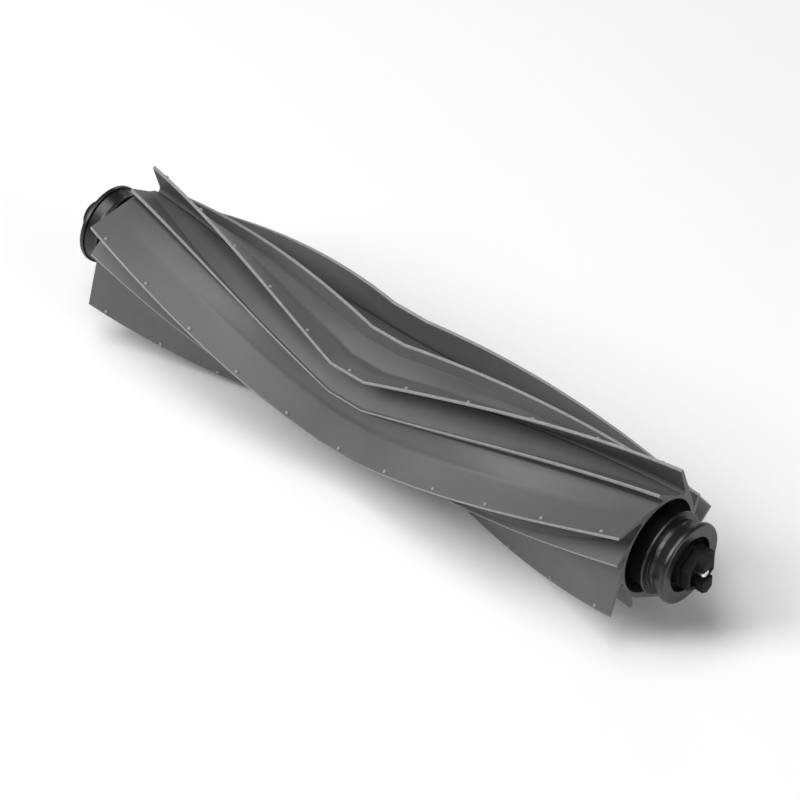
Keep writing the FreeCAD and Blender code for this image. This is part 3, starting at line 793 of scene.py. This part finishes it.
class ROLLERBRUSH_OT_finishes(bpy.types.Operator):
    """Make the finishes and put them on the pieces that keep their solid shape"""

    bl_idname = "roller_brush.finishes"
    bl_label = "Finishes"

    def execute(self, context):
        for slot, maker in FINISH_MAKERS.items():
            FINISHES[slot] = maker(context.scene)
        for part in frame["record"]["subparts"]:
            slots = frame["nodes"][part["node"]].data.materials
            slots.clear()
            slots.append(FINISHES[part["material_slot"]])
        return {"FINISHED"}


class ROLLERBRUSH_OT_rubber_sleeve(bpy.types.Operator):
    """Build the rubber sleeve with its chevron blades"""

    bl_idname = "roller_brush.rubber_sleeve"
    bl_label = "Rubber sleeve"

    def execute(self, context):
        sizes = context.scene.roller_brush_sleeve
        ends, outline_points = sleeve_ends(sizes)
        piece = grow(new_piece("rubber_blades", ends), sleeve_tree(), {
            "Half Length": SLEEVE_END, "Straight Middle": sizes.straight_middle, "Twist": sizes.twist,
            "Outline Points": outline_points, "Rings": RINGS, "Finish": FINISHES["grey_rubber"]})
        shape = bmesh.new()
        shape.from_mesh(piece.data)
        bmesh.ops.recalc_face_normals(shape, faces=shape.faces)
        shape.to_mesh(piece.data)
        shape.free()
        smooth(piece.data)
        finish_piece(piece, "roller", "grey_rubber", "rubber_sleeve")
        return {"FINISHED"}


class ROLLERBRUSH_OT_tip_nubs(bpy.types.Operator):
    """Set the moulded nubs along the tall blades' tips"""

    bl_idname = "roller_brush.tip_nubs"
    bl_label = "Tip nubs"

    def execute(self, context):
        sleeve = context.scene.roller_brush_sleeve
        nubs = context.scene.roller_brush_nubs
        run = math.sqrt(sleeve.tall_reach ** 2 - sleeve.tall_offset ** 2)
        flap = run - sleeve.crease_run
        piece = grow(new_piece("tip_nubs", nub_mesh(nubs)), nub_tree(), {
            "Blades": sleeve.blade_count, "Nubs Per Blade": nubs.per_blade, "Pitch": nubs.pitch,
            "First Foot": first_foot(sleeve), "Half Length": SLEEVE_END,
            "Straight Middle": sleeve.straight_middle, "Twist": sleeve.twist, "Out": sleeve.tall_offset,
            "Drop": sleeve.crease_drop * nubs.setback / flap,
            "Lean": math.atan(sleeve.crease_drop / flap), "Along Blade": run - nubs.setback,
            "Finish": FINISHES["grey_rubber"]})
        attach(piece, "roller")
        return {"FINISHED"}


class ROLLERBRUSH_OT_end_covers(bpy.types.Operator):
    """Turn the spool-shaped cover of each end"""

    bl_idname = "roller_brush.end_covers"
    bl_label = "End covers"

    def execute(self, context):
        sizes = context.scene.roller_brush_fittings
        soft = sizes.edge_round
        step = sizes.cover_back + sizes.seat_depth
        rim_back = sizes.cover_front - sizes.rim_width
        flange_back = sizes.flange_reach - sizes.flange_thickness
        corners = [
            (sizes.cover_back, sizes.seat_radius, soft), (step, sizes.seat_radius, soft),
            (step, sizes.mouth_radius, soft), (sizes.cover_front, sizes.mouth_radius, soft),
            (sizes.cover_front, sizes.rim_radius, sizes.rim_round), (rim_back, sizes.rim_radius, soft),
            (rim_back, sizes.flare_radius, soft),
            (sizes.flare_reach, sizes.neck_radius, sizes.flare_round),
            (sizes.flange_reach, sizes.neck_radius, soft),
            (sizes.flange_reach, sizes.flange_radius, soft), (flange_back, sizes.flange_radius, soft),
            (flange_back, sizes.hub_radius, soft), (sizes.cover_back, sizes.hub_radius, soft)]
        for end, side in SIDES.items():
            piece = lathe(f"{end}_end_cover", corners, side)
            finish_piece(piece, COVER_BODY[end], "black_plastic", f"{end}_cover")
        return {"FINISHED"}


class ROLLERBRUSH_OT_steel_pins(bpy.types.Operator):
    """Turn the steel pin of each end"""

    bl_idname = "roller_brush.steel_pins"
    bl_label = "Steel pins"

    def execute(self, context):
        sizes = context.scene.roller_brush_fittings
        corners = [
            (sizes.pin_back, 0.0, 0.0), (sizes.pin_front, 0.0, 0.0),
            (sizes.pin_front, sizes.pin_radius, sizes.pin_round),
            (sizes.pin_back, sizes.pin_radius, sizes.edge_round)]
        for end, side in SIDES.items():
            piece = lathe(f"{end}_steel_pin", corners, side)
            finish_piece(piece, "roller", "steel", f"{end}_pin")
        return {"FINISHED"}


class ROLLERBRUSH_OT_idle_stub(bpy.types.Operator):
    """Turn the round stub of the idle end"""

    bl_idname = "roller_brush.idle_stub"
    bl_label = "Idle stub"

    def execute(self, context):
        sizes = context.scene.roller_brush_fittings
        soft = sizes.edge_round
        hole = sizes.pin_radius
        corners = [
            (sizes.pin_back, hole, 0.0), (sizes.stub_front, hole, soft),
            (sizes.stub_front, sizes.stub_radius, sizes.stub_round),
            (sizes.cover_front, sizes.stub_radius, soft),
            (sizes.cover_front, sizes.stub_shoulder, soft),
            (sizes.shank_front, sizes.stub_shoulder, soft),
            (sizes.shank_front, sizes.shank_radius, soft), (sizes.pin_back, sizes.shank_radius, soft)]
        piece = lathe("idle_round_stub", corners, SIDES["idle"])
        finish_piece(piece, "roller", "black_plastic", "idle_stub")
        return {"FINISHED"}


class ROLLERBRUSH_OT_drive_key(bpy.types.Operator):
    """Soften the moulded edges of the drive key"""

    bl_idname = "roller_brush.drive_key"
    bl_label = "Drive key"

    def execute(self, context):
        sizes = context.scene.roller_brush_fittings
        shape = bmesh.new()
        shape.from_mesh(frame["nodes"]["drive_key"].data)
        bmesh.ops.remove_doubles(shape, verts=shape.verts, dist=SEAM)
        bmesh.ops.dissolve_limit(
            shape, angle_limit=FLAT_UNDER, verts=shape.verts, edges=shape.edges)
        piece = new_piece("moulded_drive_key", mesh_from("moulded_drive_key", shape))
        piece.data.materials.clear()
        for layer in [item for item in piece.data.attributes if item.name == "custom_normal"]:
            piece.data.attributes.remove(layer)
        bevel = piece.modifiers.new("softened_edges", "BEVEL")
        bevel.width = sizes.key_bevel
        bevel.segments = BEVEL_STEPS
        bevel.limit_method = "ANGLE"
        bevel.angle_limit = BEVEL_OVER
        plain_mesh(piece)
        smooth(piece.data)
        finish_piece(piece, "roller", "black_plastic", "drive_key")
        return {"FINISHED"}


def area_light(name, place, size, power):
    """Soft rectangular light that looks at the roller's middle."""
    lamp = bpy.data.lights.new(name, "AREA")
    lamp.shape = "RECTANGLE"
    lamp.size, lamp.size_y = size
    lamp.energy = power
    light = bpy.data.objects.new(name, lamp)
    bpy.context.scene.collection.objects.link(light)
    light.location = place
    light.rotation_euler = (-Vector(place)).to_track_quat("-Z", "Y").to_euler()


class ROLLERBRUSH_OT_studio(bpy.types.Operator):
    """Lay the floor, hang the lights and place the camera"""

    bl_idname = "roller_brush.studio"
    bl_label = "Studio"

    def execute(self, context):
        studio = context.scene.roller_brush_studio
        scene = context.scene
        floor_finish = Finish("pale_floor")
        floor_finish.feed("Base Color", floor_finish.blend(
            floor_finish.noise(3.0), tint(studio.floor), tint(studio.floor, 0.985)))
        floor_finish.set(Roughness=0.9)
        height = CAD_BOX[0].z - studio.floor_gap
        shape = bmesh.new()
        bmesh.ops.create_grid(shape, x_segments=1, y_segments=1, size=studio.floor_radius)
        bmesh.ops.translate(shape, verts=shape.verts, vec=(0.0, 0.0, height))
        floor = new_piece("studio_floor", mesh_from("studio_floor", shape))
        floor.data.materials.append(floor_finish.material)
        world = bpy.data.worlds.new("studio_sky")
        world.use_nodes = True
        sky = world.node_tree.nodes["Background"]
        sky.inputs["Color"].default_value = (1.0, 1.0, 1.0, 1.0)
        sky.inputs["Strength"].default_value = studio.sky
        scene.world = world
        area_light("key_softbox", (-0.54, -0.71, 0.80), size=(0.5, 0.8), power=studio.key_light)
        area_light("top_softbox", (-0.18, -0.13, 1.16), size=(0.8, 0.6), power=studio.top_light)
        area_light("right_softbox", (1.14, 0.0, 0.32), size=(0.5, 0.5), power=studio.right_light)
        area_light("glint_strip", (-0.59, 0.98, 0.36), size=(0.4, 0.12), power=studio.glint_light)
        camera = bpy.data.objects.new("photo_camera", bpy.data.cameras.new("photo_camera"))
        scene.collection.objects.link(camera)
        back = Vector((
            math.sin(studio.azimuth) * math.cos(studio.elevation),
            -math.cos(studio.azimuth) * math.cos(studio.elevation), math.sin(studio.elevation)))
        camera.location = Vector(studio.aim) + back * studio.distance
        camera.rotation_euler = (-back).to_track_quat("-Z", "Y").to_euler()
        camera.data.lens = studio.lens
        camera.data.sensor_width = SENSOR_WIDTH
        scene.camera = camera
        scene.view_settings.view_transform = "Standard"
        return {"FINISHED"}


class ROLLERBRUSH_PT_sidebar(bpy.types.Panel):
    """Buttons for each piece of the roller brush"""

    bl_label = "Roller Brush"
    bl_idname = "ROLLERBRUSH_PT_sidebar"
    bl_space_type = "VIEW_3D"
    bl_region_type = "UI"
    bl_category = "Roller Brush"

    def draw(self, context):
        for operator in OPERATORS:
            self.layout.operator(operator.bl_idname)


GROUPS = {
    "roller_brush_sleeve": SleeveSizes,
    "roller_brush_nubs": NubSizes,
    "roller_brush_fittings": FittingSizes,
    "roller_brush_colours": FinishColours,
    "roller_brush_studio": StudioSettings,
}
OPERATORS = (
    ROLLERBRUSH_OT_finishes, ROLLERBRUSH_OT_rubber_sleeve, ROLLERBRUSH_OT_tip_nubs,
    ROLLERBRUSH_OT_end_covers, ROLLERBRUSH_OT_steel_pins, ROLLERBRUSH_OT_idle_stub,
    ROLLERBRUSH_OT_drive_key, ROLLERBRUSH_OT_studio)


def register():
    """Register the settings, the operators and the panel."""
    for name, group in GROUPS.items():
        bpy.utils.register_class(group)
        setattr(bpy.types.Scene, name, bpy.props.PointerProperty(type=group))
    for item in (*OPERATORS, ROLLERBRUSH_PT_sidebar):
        bpy.utils.register_class(item)


def unregister():
    """Take everything away again, last first."""
    for item in reversed((*OPERATORS, ROLLERBRUSH_PT_sidebar)):
        bpy.utils.unregister_class(item)
    for name, group in reversed(list(GROUPS.items())):
        delattr(bpy.types.Scene, name)
        bpy.utils.unregister_class(group)


def main():
    """Build every piece and the studio."""
    register()
    bpy.ops.roller_brush.finishes()
    bpy.ops.roller_brush.rubber_sleeve()
    bpy.ops.roller_brush.tip_nubs()
    bpy.ops.roller_brush.end_covers()
    bpy.ops.roller_brush.steel_pins()
    bpy.ops.roller_brush.idle_stub()
    bpy.ops.roller_brush.drive_key()
    bpy.ops.roller_brush.studio()


if __name__ == "__main__":
    main()
